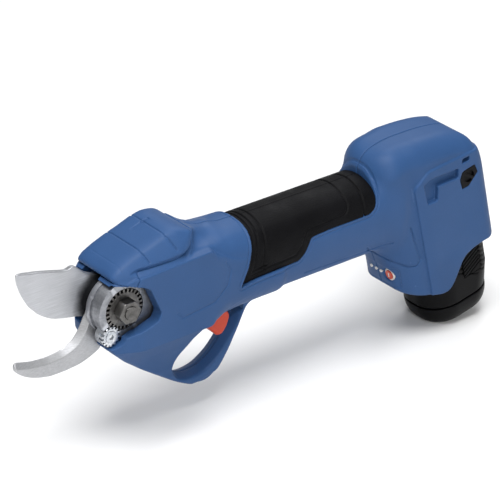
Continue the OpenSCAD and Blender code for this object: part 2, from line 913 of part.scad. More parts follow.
module motor_leads() {
    color([0.7, 0.1, 0.08]) placed() for (k = [-1 : 1])
        translate([0, 3 * k, -3]) x_bar(1.1, motor_end_x + 0.1, 197);
}

module strap_outline(inset) {
    polygon([[244.6 + inset, 15.2 - inset], [254.4 - inset, 17.6 - inset],
             [257 - inset, 12 + inset], [250.2, 4.6 + inset], [245.2 + inset, 3.6 + inset],
             [243 + inset, 10]]);
}

module strap_insert(side) {
    color(black) placed() mirror([0, side > 0 ? 1 : 0, 0]) difference() {
        side_plate(-25.4, -22.95) strap_outline(0.15);
        translate([250, 0, 11]) difference() {
            y_bar(4, -30, -24.2);
            rotate([0, 30, 0]) block([-5, -31, -0.9], [5, -24, 0.9]);
        }
    }
}

module left_strap_insert() {
    strap_insert(-1);
}

module right_strap_insert() {
    strap_insert(1);
}

// ---------- battery ----------

module battery_case() {
    color(black) placed() leaned() difference() {
        union() {
            round_block(battery_v - stick_half_v, battery_v + stick_half_v, stick_half_w,
                        8.5, 8.5, battery_top - 1, stick_top);
            round_block(battery_v - battery_half_v, battery_v + battery_half_v,
                        battery_half_w, 11.5, 11.5, battery_seam, battery_top);
        }
        // three cells stand in one hollow
        for (at = cell_places)
            translate([battery_v + at[0], at[1], battery_seam - 1])
                cylinder(r = cell_r + 0.3, h = cells_low + cell_len + 2 - battery_seam, $fn = 64);
        // hollow above the base, and the two latch windows
        round_block(battery_v - 22, battery_v + 22, 14.6, 8, 8, battery_seam - 1, -69);
        for (side = [-1, 1])
            block([latch_v - latch_half_v, side > 0 ? 15.5 : -30, latch_z - latch_half_h],
                  [latch_v + latch_half_v, side > 0 ? 30 : -15.5, latch_z + latch_half_h]);
        // slots for the contacts
        for (y = contact_rows)
            block([-6, y - 0.9, -2], [6, y + 0.9, 40]);
    }
}

// Outline of the battery base across half its size, with softened lower edges.
module base_outline(half) {
    low = battery_low;
    polygon([[-half - 2, battery_seam - 0.02], [-half, -85], [-half + 1.4, -88.6],
             [-half + 4, -91.6], [-half + 8, -93.4], [-half + 13, low], [half - 13, low],
             [half - 8, -93.4], [half - 4, -91.6], [half - 1.4, -88.6], [half, -85],
             [half + 2, battery_seam - 0.02]]);
}

module battery_base() {
    color(black) placed() leaned() difference() {
        intersection() {
            round_block(battery_v - battery_half_v, battery_v + battery_half_v,
                        battery_half_w, 11.5, 11.5, -100, battery_seam - 0.02);
            translate([battery_v, 0, 0]) side_plate(-wide, wide) base_outline(battery_half_v);
            rotate([90, 0, 90]) translate([0, 0, -wide]) linear_extrude(2 * wide)
                base_outline(battery_half_w);
        }
        round_block(battery_v - 22, battery_v + 22, battery_half_w - 3, 8, 8, -86, -79);
        battery_screw_places() cylinder(r = 1.7, h = 400, center = true, $fn = 48);
        battery_screw_places() translate([0, 0, battery_low - 1])
            cylinder(r = 3, h = 3.4, $fn = 48);
    }
}

module battery_screw_places() {
    for (x = [-15, 15], y = [-11, 11])
        translate([battery_v + x, y, 0]) children();
}

module battery_screws() {
    color(steel) placed() leaned() battery_screw_places() {
        translate([0, 0, battery_low + 0.8]) cylinder(r = 2.8, h = 1.6, $fn = 48);
        translate([0, 0, battery_low + 2.3]) cylinder(r = 1.3, h = 10, $fn = 48);
    }
}

module battery_cells() {
    color([0.2, 0.5, 0.3]) placed() leaned() for (at = cell_places)
        translate([battery_v + at[0], at[1], cells_low])
            cylinder(r = cell_r, h = cell_len, $fn = 64);
}

module battery_contacts() {
    color([0.8, 0.6, 0.25]) placed() leaned() for (y = contact_rows)
        block([-5, y - 0.4, -1.8], [5, y + 0.4, 6.6]);
}

module latch(side) {
    color(black) placed() leaned() mirror([0, side > 0 ? 0 : 1, 0]) difference() {
        block([latch_v - latch_half_v + clear_gap, battery_half_w - latch_t,
               latch_z - latch_half_h + clear_gap],
              [latch_v + latch_half_v - clear_gap, battery_half_w + 0.3,
               latch_z + latch_half_h - clear_gap]);
        for (k = [-3 : 3])
            translate([latch_v, battery_half_w + 0.3, latch_z + 2.6 * k]) rotate([0, -28, 0])
                block([-16, -0.8, -0.5], [16, 2, 0.5]);
    }
}

module left_latch() {
    latch(-1);
}

module right_latch() {
    latch(1);
}

module latch_spring(side) {
    color(steel) placed() leaned() mirror([0, side > 0 ? 0 : 1, 0])
        translate([latch_v, 15.6, latch_z]) for (k = [0 : 2])
            difference() {
                y_bar(3, 0.1 + k, 0.5 + k);
                y_bar(2.2, -1, 6);
            }
}

module left_latch_spring() {
    latch_spring(-1);
}

module right_latch_spring() {
    latch_spring(1);
}

left_housing();
right_housing();
head_cover();
left_grip();
right_grip();
housing_screws();
gear_case();
hook_blade();
hook_screws();
cutting_blade();
bevel_sector();
sector_screws();
pivot_bolt();
pivot_bush();
pivot_nut();
lock_disc();
lock_gear();
lock_screw();
planet_carrier();
bevel_pinion();
output_bearing();
ring_gear();
planet_gear_1();
planet_gear_2();
planet_gear_3();
sun_gear();
gearbox_plate();
motor_can();
motor_stator();
motor_windings();
motor_rotor();
motor_end_cap();
trigger();
trigger_pin();
trigger_spring();
trigger_switch();
control_board();
board_parts();
power_button();
button_bezel();
charge_lamps();
contact_block();
motor_leads();
left_strap_insert();
right_strap_insert();
battery_case();
battery_base();
battery_cells();
battery_contacts();
battery_screws();
left_latch();
right_latch();
left_latch_spring();
right_latch_spring();
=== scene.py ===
"""The looks of a battery electric pruner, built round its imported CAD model.

The moulded parts are measured as distance fields on a grid, in millimetres about
the blade pivot, and skinned into meshes. Metal parts keep their CAD shape with
worn edges, except the two blades, which are ground here. X runs back along the
grip, Y to the tool's right, Z up.
"""

import math

import bpy
import numpy as np
import openvdb
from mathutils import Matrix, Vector
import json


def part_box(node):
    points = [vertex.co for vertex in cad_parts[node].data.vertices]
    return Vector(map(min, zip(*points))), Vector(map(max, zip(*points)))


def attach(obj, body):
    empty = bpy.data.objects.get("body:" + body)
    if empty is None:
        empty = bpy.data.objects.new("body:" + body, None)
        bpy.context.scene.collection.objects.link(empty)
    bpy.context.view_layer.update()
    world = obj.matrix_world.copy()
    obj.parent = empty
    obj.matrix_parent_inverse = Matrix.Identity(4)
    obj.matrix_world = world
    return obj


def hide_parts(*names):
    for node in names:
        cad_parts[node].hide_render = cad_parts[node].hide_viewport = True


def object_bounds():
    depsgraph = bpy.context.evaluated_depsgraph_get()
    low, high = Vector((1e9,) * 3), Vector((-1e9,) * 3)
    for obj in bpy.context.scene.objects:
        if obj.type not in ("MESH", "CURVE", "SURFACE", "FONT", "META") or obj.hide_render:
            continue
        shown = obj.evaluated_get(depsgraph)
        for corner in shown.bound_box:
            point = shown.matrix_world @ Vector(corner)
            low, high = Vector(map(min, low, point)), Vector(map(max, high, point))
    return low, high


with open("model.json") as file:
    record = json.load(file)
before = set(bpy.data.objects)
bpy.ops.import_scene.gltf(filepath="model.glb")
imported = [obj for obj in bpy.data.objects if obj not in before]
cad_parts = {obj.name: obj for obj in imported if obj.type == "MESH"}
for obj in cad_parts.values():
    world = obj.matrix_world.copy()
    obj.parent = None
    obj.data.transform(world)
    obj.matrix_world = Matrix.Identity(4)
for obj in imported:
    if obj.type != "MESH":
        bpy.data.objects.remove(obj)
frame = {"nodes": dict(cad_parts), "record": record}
cad_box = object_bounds()
nodes = frame["nodes"]

MM = 0.001
# The blade pivot is the bolt's axis, and everything is placed from it.
BOLT_LOW, BOLT_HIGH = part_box("pivot_bolt")
PIVOT = Vector(((BOLT_LOW.x + BOLT_HIGH.x) / 2, 0, (BOLT_LOW.z + BOLT_HIGH.z) / 2))
COARSE = 1.0
FLOOR_GAP = 0.0004

# Widths, radii and places that several pieces share, in millimetres.
HEAD_HALF_W = 25.5
GUARD_HALF_W = 8.0
HANDLE_R = 26.0
HANDLE_HALF_W = 23.0
HANDLE_Z = -2.0
RUBBER_T = 1.6
REAR_HALF_W = 25.5
PANEL_RISE = 0.9
HUMP_TOP = 40.3
SWEEP_R = 28.6
SWEEP_Y, SWEEP_HALF_W = 1.1, 10.1
HUB_WELL_R = 20.0
HUB_FLOOR_Y = -15.9
LOCK_X, LOCK_Z, LOCK_WELL_R = -10.1, -14.4, 7.4
SCREW_R, SCREW_HEAD_R = 1.7, 3.3
BUTTON_Y, BUTTON_W, BUTTON_R = -9.0, -41.0, 4.15
BUTTON_FACE_U = -36.9
LAMP_YS, LAMP_R = (6, 1.5, -3), 1.05

# The battery housing leans back about this place, and u and w are measured in its frame.
LEAN = math.radians(12)
LEAN_X = 230.0
REAR_BACK_U = 37.4
BATTERY_U = 8.5
BATTERY_HALF_L, BATTERY_HALF_W = 25.0, 21.5
BATTERY_LOW, BATTERY_SEAM, BATTERY_TOP = -94.0, -80.0, -40.0
STEM_HALF_L, STEM_HALF_W, STEM_TOP = 20.4, 19.6, 7.0
CELLS_TOP = -1.0
LATCH_U, LATCH_W = BATTERY_U + 8, -55.0


# ---------- camera, light and floor ----------

def make_camera():
    """A long lens from the front left and above."""
    data = bpy.data.cameras.new("camera")
    data.lens = 217.9
    data.clip_start, data.clip_end = 0.05, 20
    camera = bpy.data.objects.new("camera", data)
    bpy.context.scene.collection.objects.link(camera)
    camera.location = PIVOT + Vector((-0.8631, -1.2350, 0.8243))
    aim = PIVOT + Vector((0.0628, -0.0500, 0.0315)) - camera.location
    camera.rotation_euler = aim.to_track_quat("-Z", "Y").to_euler()
    bpy.context.scene.camera = camera


def make_light(name, place, size, power, colour):
    """A round soft lamp that faces the middle of the tool."""
    data = bpy.data.lights.new(name, "AREA")
    data.shape = "DISK"
    data.size = size
    data.energy = power
    data.color = colour
    light = bpy.data.objects.new(name, data)
    light.location = place
    light.rotation_euler = (-Vector(place)).to_track_quat("-Z", "Y").to_euler()
    bpy.context.scene.collection.objects.link(light)


def make_stage():
    """A pale floor under a soft sky, with a broad lamp overhead and two fill lamps."""
    world = bpy.data.worlds.new("studio")
    world.use_nodes = True
    sky = world.node_tree.nodes["Background"]
    sky.inputs["Color"].default_value = (1, 1, 1, 1)
    sky.inputs["Strength"].default_value = 0.28
    bpy.context.scene.world = world
    bpy.context.scene.view_settings.view_transform = "Standard"
    make_light("key_light", (-0.35, -0.35, 1.7), 1.1, 34, (1, 1, 1))
    make_light("rear_light", (0.8, 0.7, 1.2), 0.8, 8, (0.97, 0.98, 1))
    make_light("side_light", (-0.5, -1.3, 0.7), 0.6, 8, (1, 1, 1))
    mesh = bpy.data.meshes.new("floor")
    side = 6
    z = cad_box[0].z - FLOOR_GAP
    corners = [(-side, -side, z), (side, -side, z), (side, side, z), (-side, side, z)]
    mesh.from_pydata(corners, [], [(0, 1, 2, 3)])
    floor = bpy.data.objects.new("floor", mesh)
    bpy.context.scene.collection.objects.link(floor)
    paper = bpy.data.materials.new("paper")
    paper.use_nodes = True
    shader = paper.node_tree.nodes["Principled BSDF"]
    shader.inputs["Base Color"].default_value = (0.82, 0.82, 0.82, 1)
    shader.inputs["Roughness"].default_value = 0.9
    mesh.materials.append(paper)


# ---------- materials ----------

class Finish:
    """A procedural material under construction: a shader, its nodes and rest coordinates."""

    def __init__(self, name, roughness, metallic=0.0):
        self.material = bpy.data.materials.new(name)
        self.material.use_nodes = True
        self.tree = self.material.node_tree
        self.shader = self.tree.nodes["Principled BSDF"]
        self.shader.inputs["Roughness"].default_value = roughness
        self.shader.inputs["Metallic"].default_value = metallic
        self.place = self.node("ShaderNodeTexCoord").outputs["Object"]

    def node(self, kind, **inputs):
        made = self.tree.nodes.new(kind)
        for name, value in inputs.items():
            self.feed(made.inputs[name.replace("_", " ")], value)
        return made

    def feed(self, socket, value):
        if isinstance(value, bpy.types.NodeSocket):
            self.tree.links.new(value, socket)
        else:
            socket.default_value = value

    def set(self, name, value):
        self.feed(self.shader.inputs[name], value)

    def stretched(self, scale):
        """The rest coordinates, scaled along each axis."""
        made = self.node("ShaderNodeMapping", Vector=self.place)
        made.inputs["Scale"].default_value = scale
        return made.outputs["Vector"]

    def noise(self, per_metre, detail=2.0, place=None, roughness=0.5):
        made = self.node("ShaderNodeTexNoise", Vector=place or self.place, Scale=per_metre,
                         Detail=detail, Roughness=roughness)
        return made.outputs["Fac"]

    def cells(self, per_metre, place=None):
        made = self.node("ShaderNodeTexVoronoi", Vector=place or self.place, Scale=per_metre)
        return made.outputs["Distance"]

    def ramp(self, fac, *stops):
        """Colours or greys along a value: each stop is (position, colour)."""
        made = self.node("ShaderNodeValToRGB", Fac=fac)
        band = made.color_ramp
        while len(band.elements) < len(stops):
            band.elements.new(0.5)
        for element, (position, colour) in zip(band.elements, stops):
            element.position = position
            if isinstance(colour, (int, float)):
                colour = (colour,) * 3
            element.color = (*colour, 1)
        return made.outputs["Color"]

    def mix(self, fac, low, high, how="MIX"):
        made = self.node("ShaderNodeMix")
        made.data_type = "RGBA"
        made.blend_type = how
        for name, value in (("Factor", fac), ("A", low), ("B", high)):
            socket = next(s for s in made.inputs if s.name == name and s.enabled)
            if isinstance(value, tuple) and len(value) == 3:
                value = (*value, 1)
            self.feed(socket, value)
        return next(s for s in made.outputs if s.enabled)

    def maths(self, how, a, b):
        made = self.node("ShaderNodeMath")
        made.operation = how
        self.feed(made.inputs[0], a)
        self.feed(made.inputs[1], b)
        return made.outputs["Value"]

    def relief(self, *layers):
        """Bumps one over another: each layer is (height, depth in metres, strength)."""
        normal = None
        for height, depth, strength in layers:
            made = self.node("ShaderNodeBump", Height=height, Distance=depth, Strength=strength)
            if normal is not None:
                self.tree.links.new(normal, made.inputs["Normal"])
            normal = made.outputs["Normal"]
        self.set("Normal", normal)

    def worn(self, low=0.52, high=0.6):
        """1 on sharp outer edges, 0 elsewhere."""
        edge = self.node("ShaderNodeNewGeometry").outputs["Pointiness"]
        return self.ramp(edge, (low, 0.0), (high, 1.0))


def moulded_plastic(name, dark, light, roughness, grain=0.00006, worn_to=None, gloss=0.3):
    """Spark-eroded satin plastic: fine grain, slow colour drift, rubbed edges."""
    finish = Finish(name, roughness)
    finish.shader.inputs["Specular IOR Level"].default_value = gloss
    drift = finish.noise(22, 3)
    colour = finish.ramp(drift, (0.35, dark), (0.65, light))
    specks = finish.ramp(finish.noise(2600, 2), (0.42, 0.86), (0.6, 1.0))
    colour = finish.mix(0.5, colour, specks, "MULTIPLY")
    if worn_to:
        rubbed = finish.maths("MULTIPLY", finish.worn(0.53, 0.64), 0.35)
        colour = finish.mix(rubbed, colour, worn_to)
    finish.set("Base Color", colour)
    finish.set("Roughness", finish.ramp(finish.noise(60, 4), (0.3, roughness - 0.05),
                                        (0.7, roughness + 0.06)))
    finish.relief((finish.noise(1500, 3, roughness=0.65), grain, 0.7),
                  (finish.noise(35, 2), 0.0004, 0.06))
    return finish.material


def soft_rubber(name):
    """Matt black rubber with a fine leathery grain."""
    finish = Finish(name, 0.6)
    finish.shader.inputs["Specular IOR Level"].default_value = 0.1
    drift = finish.noise(40, 4)
    colour = finish.ramp(drift, (0.3, (0.0018, 0.0018, 0.0023)), (0.7, (0.0038, 0.0038, 0.0048)))
    finish.set("Base Color", colour)
    finish.set("Roughness", finish.ramp(finish.noise(90, 4), (0.3, 0.5), (0.7, 0.68)))
    finish.relief((finish.cells(1100), 0.00016, 0.8), (finish.noise(3000, 2), 0.00004, 0.6))
    return finish.material


def brushed_steel(name, shade, roughness, along, blackened=None, metallic=0.9):
    """Ground steel: fine scratches across the grain, smears, and a zone that goes dark near the pivot.
    """
    finish = Finish(name, roughness, metallic)
    scratches = finish.noise(1, 5, finish.stretched(along), 0.7)
    smears = finish.noise(55, 4)
    light = tuple(min(1, c * 1.12) for c in shade)
    dark = tuple(c * 0.82 for c in shade)
    colour = finish.ramp(scratches, (0.3, dark), (0.7, light))
    colour = finish.mix(0.35, colour, finish.ramp(smears, (0.3, 0.78), (0.7, 1.0)), "MULTIPLY")
    # within a given distance of the pivot the colour goes nearly black, fading out further off
    if blackened:
        spread = finish.node("ShaderNodeVectorMath", Vector=finish.place)
        spread.operation = "DISTANCE"
        spread.inputs[1].default_value = PIVOT
        edge = finish.maths("ADD", spread.outputs["Value"],
                            finish.maths("MULTIPLY", finish.noise(140, 4), 0.006))
        # the ramp runs over 0 to 1, so it is given tenths of a metre
        near, out = blackened
        tenths = finish.maths("MULTIPLY", edge, 10.0)
        zone = finish.ramp(tenths, (near * 10, 1.0), (out * 10, 0.0))
        colour = finish.mix(zone, colour, (0.05, 0.052, 0.058))
    finish.set("Base Color", colour)
    finish.set("Roughness", finish.ramp(scratches, (0.3, roughness + 0.12), (0.7, roughness - 0.06)))
    finish.relief((scratches, 0.00003, 0.5))
    return finish.material


def dark_metal(name, dark, light, roughness, scale=420, metallic=1.0):
    """Blackened or phosphated steel: mottled, with bright rubbed edges."""
    finish = Finish(name, roughness, metallic)
    mottle = finish.noise(scale, 5, roughness=0.65)
    colour = finish.ramp(mottle, (0.3, dark), (0.7, light))
    rubbed = finish.maths("MULTIPLY", finish.worn(0.52, 0.6), 0.6)
    colour = finish.mix(rubbed, colour, tuple(min(1, c * 2.2) for c in light))
    finish.set("Base Color", colour)
    finish.set("Roughness", finish.ramp(mottle, (0.3, roughness + 0.1), (0.7, roughness - 0.08)))
    finish.relief((finish.noise(scale * 4, 3), 0.00003, 0.6))
    return finish.material


def make_finishes():
    """One finish for each material slot of the record."""
    made = {}
    made["blue_shell"] = moulded_plastic("blue_satin", (0.025, 0.073, 0.192), (0.029, 0.081, 0.21),
                                         0.5, worn_to=(0.07, 0.14, 0.29), gloss=0.22)
    made["black_rubber"] = soft_rubber("black_soft_rubber")
    made["black_plastic"] = moulded_plastic("black_moulded", (0.0016, 0.0016, 0.002),
                                            (0.003, 0.003, 0.0038), 0.42, 0.00008, gloss=0.1)
    made["blade_steel"] = brushed_steel("blade_brushed", (0.55, 0.56, 0.585), 0.36, (90, 400, 2600))
    made["dark_steel"] = dark_metal("blackened_steel", (0.075, 0.073, 0.07), (0.16, 0.155, 0.15), 0.4)
    made["cast_alloy"] = dark_metal("cast_alloy", (0.2, 0.207, 0.226), (0.36, 0.37, 0.395), 0.45, 260)
    made["zinc_steel"] = dark_metal("zinc_plated", (0.36, 0.385, 0.42), (0.6, 0.63, 0.67), 0.3, 300)
    made["plain_steel"] = dark_metal("turned_steel", (0.4, 0.4, 0.41), (0.56, 0.56, 0.57), 0.33, 500)
    made["bronze"] = dark_metal("sintered_bronze", (0.32, 0.2, 0.09), (0.5, 0.33, 0.15), 0.45, 600)
    made["copper"] = dark_metal("enamelled_copper", (0.36, 0.13, 0.05), (0.6, 0.25, 0.1), 0.35, 900)
    made["red_plastic"] = moulded_plastic("red_moulded", (0.46, 0.042, 0.016), (0.56, 0.056, 0.022),
                                          0.36, worn_to=(0.75, 0.16, 0.09))
    made["pale_plastic"] = moulded_plastic("pale_moulded", (0.62, 0.6, 0.58), (0.76, 0.74, 0.72), 0.4)
    made["green_board"] = moulded_plastic("board_lacquer", (0.01, 0.07, 0.03), (0.02, 0.12, 0.05), 0.3)
    made["cell_wrap"] = moulded_plastic("cell_sleeve", (0.03, 0.2, 0.09), (0.05, 0.27, 0.12), 0.35)
    made["lead_wrap"] = moulded_plastic("lead_sleeve", (0.3, 0.015, 0.01), (0.42, 0.03, 0.02), 0.4)
    return made


# ---------- distance fields ----------

class Field:
    """Sample points in a box, in millimetres about the blade pivot. u runs back and w up
    in the leaned frame of the battery housing."""

    def __init__(self, low, high, pitch):
        self.low = np.array(low, np.float32)
        self.pitch = pitch
        axes = [np.arange(a, b + pitch, pitch, dtype=np.float32) for a, b in zip(low, high)]
        self.shape = tuple(len(axis) for axis in axes)
        self.x = axes[0][:, None, None]
        self.y = axes[1][None, :, None]
        self.z = axes[2][None, None, :]
        back = self.x - LEAN_X
        self.u = (back * math.cos(LEAN) + self.z * math.sin(LEAN)).astype(np.float32)
        self.w = (self.z * math.cos(LEAN) - back * math.sin(LEAN)).astype(np.float32)

    def side(self, outline):
        return outline_distance(self.x, self.z, outline)

    def across(self, outline):
        return outline_distance(self.y, self.z, outline)

    def plan(self, outline):
        return outline_distance(self.x, self.y, outline)

    def line(self, path):
        return path_distance(self.x, self.z, path)

    def y_bar(self, x, z, r):
        """A bar of radius r that runs across, at x and z."""
        return np.sqrt((self.x - x) ** 2 + (self.z - z) ** 2) - r

    def x_bar(self, r, z=0.0):
        """A bar of radius r that runs back, at height z."""
        return np.sqrt(self.y ** 2 + (self.z - z) ** 2) - r

    def block(self, low, high):
        return box_distance((self.x, self.y, self.z), low, high)

    def lean_block(self, low, high):
        return box_distance((self.u, self.y, self.w), low, high)


def outline_distance(a, b, outline):
    """Signed distance to a closed outline, negative inside."""
    nearest, sign = None, np.float32(1)
    count = len(outline)
    for k in range(count):
        (x0, y0), (x1, y1) = outline[k], outline[k - 1]
        ex, ey = x1 - x0, y1 - y0
        wx, wy = a - x0, b - y0
        t = np.clip((wx * ex + wy * ey) / (ex * ex + ey * ey), 0, 1)
        gap = (wx - ex * t) ** 2 + (wy - ey * t) ** 2
        nearest = gap if nearest is None else np.minimum(nearest, gap)
        above, below, left = wy >= 0, b < y1, ex * wy > ey * wx
        crossed = (above & below & left) | (~above & ~below & ~left)
        sign = np.where(crossed, -sign, sign)
    return (sign * np.sqrt(nearest)).astype(np.float32)


def path_distance(a, b, path):
    """Distance to an open line of points."""
    nearest = None
    for (x0, y0), (x1, y1) in zip(path, path[1:]):
        ex, ey = x1 - x0, y1 - y0
        wx, wy = a - x0, b - y0
        t = np.clip((wx * ex + wy * ey) / (ex * ex + ey * ey), 0, 1)
        gap = (wx - ex * t) ** 2 + (wy - ey * t) ** 2
        nearest = gap if nearest is None else np.minimum(nearest, gap)
    return np.sqrt(nearest).astype(np.float32)


def box_distance(axes, low, high):
    """Distance to a box that is given by its two corners."""
    return meet(0.0, *[abs(axis - (a + b) / 2) - (b - a) / 2 for axis, a, b in zip(axes, low, high)])


def meet(r, *fields):
    """What several fields have in common, with its edges rounded to radius r."""
    inner, outer = None, 0.0
    for field in fields:
        raised = field + r
        inner = raised if inner is None else np.maximum(inner, raised)
        outer = outer + np.maximum(raised, 0) ** 2
    return np.minimum(inner, 0) + np.sqrt(outer) - r


def join(k, a, b):
    """Two fields together, with a fillet of about k where they meet."""
    share = np.clip(0.5 + 0.5 * (b - a) / k, 0, 1)
    return b + (a - b) * share - k * share * (1 - share)


def cut(a, b, k):
    """Field a with field b taken away, and a fillet of about k along the cut."""
    return -join(k, -a, b)


def carve(body, *tools):
    """The body with sharp-edged tools taken out of it."""
    for tool in tools:
        body = np.maximum(body, -tool)
    return body


def both_sides(half, axis):
    """A closed outline from half of it. Axis says which coordinate is across: 0 or 1."""
    other = [(-a, b) if axis == 0 else (a, -b) for a, b in reversed(half)]
    return half + other


def groove(body, line, half_w, depth):
    """A groove of even depth under the surface of body, along a line."""
    return carve(body, np.maximum(line - half_w, -(body + depth)))


def eased(outline, reach):
    """An outline with each corner drawn as a short curve."""
    made = []
    count = len(outline)
    for k in range(count):
        here = Vector(outline[k])
        arms = [Vector(outline[k - 1]) - here, Vector(outline[(k + 1) % count]) - here]
        ends = [here + arm * min(0.48, reach / arm.length) for arm in arms]
        for t in (0, 0.25, 0.5, 0.75, 1):
            made.append(tuple(ends[0] * (1 - t) ** 2 + here * 2 * t * (1 - t) + ends[1] * t * t))
    return made


def step(values, low, high):
    """0 below low, 1 above high, and a smooth rise between them."""
    t = np.clip((values - low) / (high - low), 0, 1)
    return t * t * (3 - 2 * t)


def skin(name, field, values, body, slot, stands_for=(), finish=None):
    """Makes the piece whose surface is where the values are zero."""
    span = 3 * field.pitch
    values = np.broadcast_to(values, field.shape)
    grid = openvdb.FloatGrid(span)
    grid.copyFromArray(np.ascontiguousarray(np.clip(values, -span, span), np.float32))
    points, quads = grid.convertToQuads(isovalue=0.0)
    points = (points * field.pitch + field.low) * MM + np.array(PIVOT)
    mesh = bpy.data.meshes.new(name)
    mesh.vertices.add(len(points))
    mesh.vertices.foreach_set("co", points.astype(np.float32).ravel())
    mesh.loops.add(len(quads) * 4)
    mesh.loops.foreach_set("vertex_index", quads[:, ::-1].astype(np.int32).ravel())
    mesh.polygons.add(len(quads))
    mesh.polygons.foreach_set("loop_start", np.arange(len(quads), dtype=np.int32) * 4)
    mesh.update(calc_edges=True)
    mesh.shade_smooth()
    mesh.materials.append(finish or finishes[slot])
    piece = bpy.data.objects.new(name, mesh)
    bpy.context.scene.collection.objects.link(piece)
    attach(piece, body)
    if stands_for:
        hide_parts(*stands_for)
    print(name, len(quads), "quads")
    return piece


# ---------- shapes of the housing ----------

HEAD = [(-13, -22), (-8, -27), (3, -38), (17, -49.5), (31, -59.5), (42, -67), (53, -73),
        (63, -74.6), (69, -72.5), (75, -67), (82, -57), (89, -43), (93, -35), (97, -30),
        (104, -27.9), (110, -27), (110, 22), (62, 23.6), (56, 23.6), (4, 21.8), (-9, 20), (-13, 12)]
FINGER = [(38.6, -57.5), (40, -53), (44, -47.8), (52, -41), (59.4, -34.5), (66, -30.6), (80, -28.6),
          (90, -28.2), (88, -35), (84, -42), (77, -52.5), (70, -59.5), (61, -64.6), (51, -65.6),
          (43, -63.2)]
HEAD_PANEL = [(-12, 14), (4.3, 21.7), (55.6, 23.4), (73.6, 11.1), (84, 8), (94, -14), (60, -26),
              (-12, -26)]
WINDOW = [(-40, 19), (-8, 18), (6.9, 15.3), (11.7, 12.1), (15.7, 3), (19.1, -5.2), (16.9, -9.7),
          (-5.6, -16.7), (-9, -19), (-40, -30)]
REAR = [(177, 12), (180, 29), (185.5, 34.6), (194, 38.6), (206, 40.4), (226, 40.4), (242, 39),
        (256, 35), (262, 27.5), (264.5, 15), (267.6, 0), (273.6, -28), (275, -37), (262, -38.5),
        (250, -43), (246, -51), (241, -61.5), (236, -65), (222, -63.6), (209, -60.5), (203.4, -57),
        (199.4, -44), (194, -31), (186, -24), (176, -12)]
REAR_PANEL = [(207.5, 13.9), (217, 23.6), (248.4, 26.9), (290, 30), (290, -90), (229, -90),
              (224.1, -61)]
RUBBER = [(89, 40), (88, 20), (86, 12), (83, 3), (77, -9.4), (89, -8), (121.8, -6.8), (126.4, -3),
          (131.4, 5.4), (145, 6.2), (176, 6.4), (180.6, 9), (182.4, 14), (182.8, 22), (182, 40)]
RUBBER_PANEL = [(99, 60), (99, 20), (97.5, 10), (94, -3.2), (119.6, -2.2), (124, 2.4), (128.6, 10.2),
                (158, 11.6), (161, 15), (161, 60)]
HUMP = [(-9, 19.8), (7.3, 15), (60, 15), (82, 15), (76, 21.5), (66, 24), (58, 28.6), (52.3, 32.6),
        (45.2, 36.9), (38.2, 39.6), (32.5, 40.3), (27.6, 38.8), (18.4, 35.6), (9.2, 32.8), (1.5, 30),
        (-5, 27), (-9.6, 23)]
CROWN = [(-12, 19), (-9, 24.5), (-5, 27), (1.5, 30), (9.2, 32.8), (18.4, 35.6), (27.6, 38.8),
         (35, 40.3), (80, 40.3)]
VALLEY = [(2, 23.2), (18, 23.8), (39, 25.2), (44, 27.6), (47.5, 32), (48.5, 35)]
SEAM = [(-20, 19.6), (-9, 19.6), (3, 16), (6, 23.4), (18, 23.8), (39, 25), (44, 27.4), (48, 31),
        (54, 50), (-20, 50)]
SCREWS = [(10, -36), (33, -51), (100, -23.6), (175, -22.5), (256, 27)]
L_POCKET = [(214.2, 15.1), (218.8, 17.9), (241.4, 18.6), (241.6, 12.4), (225.4, 11.7), (225.6, 2),
            (217.8, 1.6)]
SLOT = [(244, 23.8), (249.6, 24.6), (250, 21.8), (244.4, 21)]
STRAP = [(244.6, 15.2), (254.4, 17.6), (257, 12), (250.2, 4.6), (245.2, 3.6), (243, 10)]
BOSS_LINE = [(206.6, -11.9), (210.1, -21.2), (215.5, -36), (213, -39.6), (208, -39.6),
             (199.4, -35.4), (187.4, -27.4), (175.4, -16)]
SPINE_LINE = [(128, -17.6), (195.9, -19.6)]
PANEL_LINE = [(30, -9), (33.9, -13.3), (56.8, -10.7), (67, -3), (69.2, 6), (66, 12)]
SEAM_GAP = 0.12


def head_field(f):
    """The head and its finger guard, wide at the side panels, narrow at the guard."""
    w = HEAD_HALF_W - PANEL_RISE
    section = both_sides([(-w + 6, 30), (-w + 3, 20), (-w, 6), (-HEAD_HALF_W, -8), (-w, -15),
                          (-w + 4.4, -24), (-9.6, -44), (-GUARD_HALF_W, -52), (-GUARD_HALF_W, -90)], 0)
    grip_w = HANDLE_HALF_W - 0.4
    plan = both_sides([(-14, -17), (-7, -19), (6, -HEAD_HALF_W), (58, -HEAD_HALF_W), (80, -grip_w),
                       (130, -grip_w)], 1)
    side = f.side(eased(HEAD, 5))
    above = f.plan(eased(plan, 4))
    body = meet(2.6, side, f.across(eased(section, 4)), above)
    panel = meet(0.7, f.side(eased(HEAD_PANEL, 2)), abs(f.y) - HEAD_HALF_W, side + 0.6, above)
    # towards the grip it draws in to a round bar, with the guard below it
    swell = np.interp(f.x, [40, 51, 59, 70, 80, 95], [30, 13.4, 6.4, 2.2, 1, 0]).astype(np.float32)
    bar = f.x_bar(HANDLE_R, HANDLE_Z) - swell
    return cut(join(0.5, body, panel), -join(4, bar, abs(f.y) - GUARD_HALF_W), 3)


def handle_field(f, less=0.0, front=70.0, back=200.0):
    """The round grip with its flattened sides, smaller all round by less."""
    ends = abs(f.x - (front + back) / 2) - (back - front) / 2
    bar = f.x_bar(HANDLE_R - less, HANDLE_Z)
    return meet(0.0, meet(9.0, bar, abs(f.y) - HANDLE_HALF_W + less), ends)


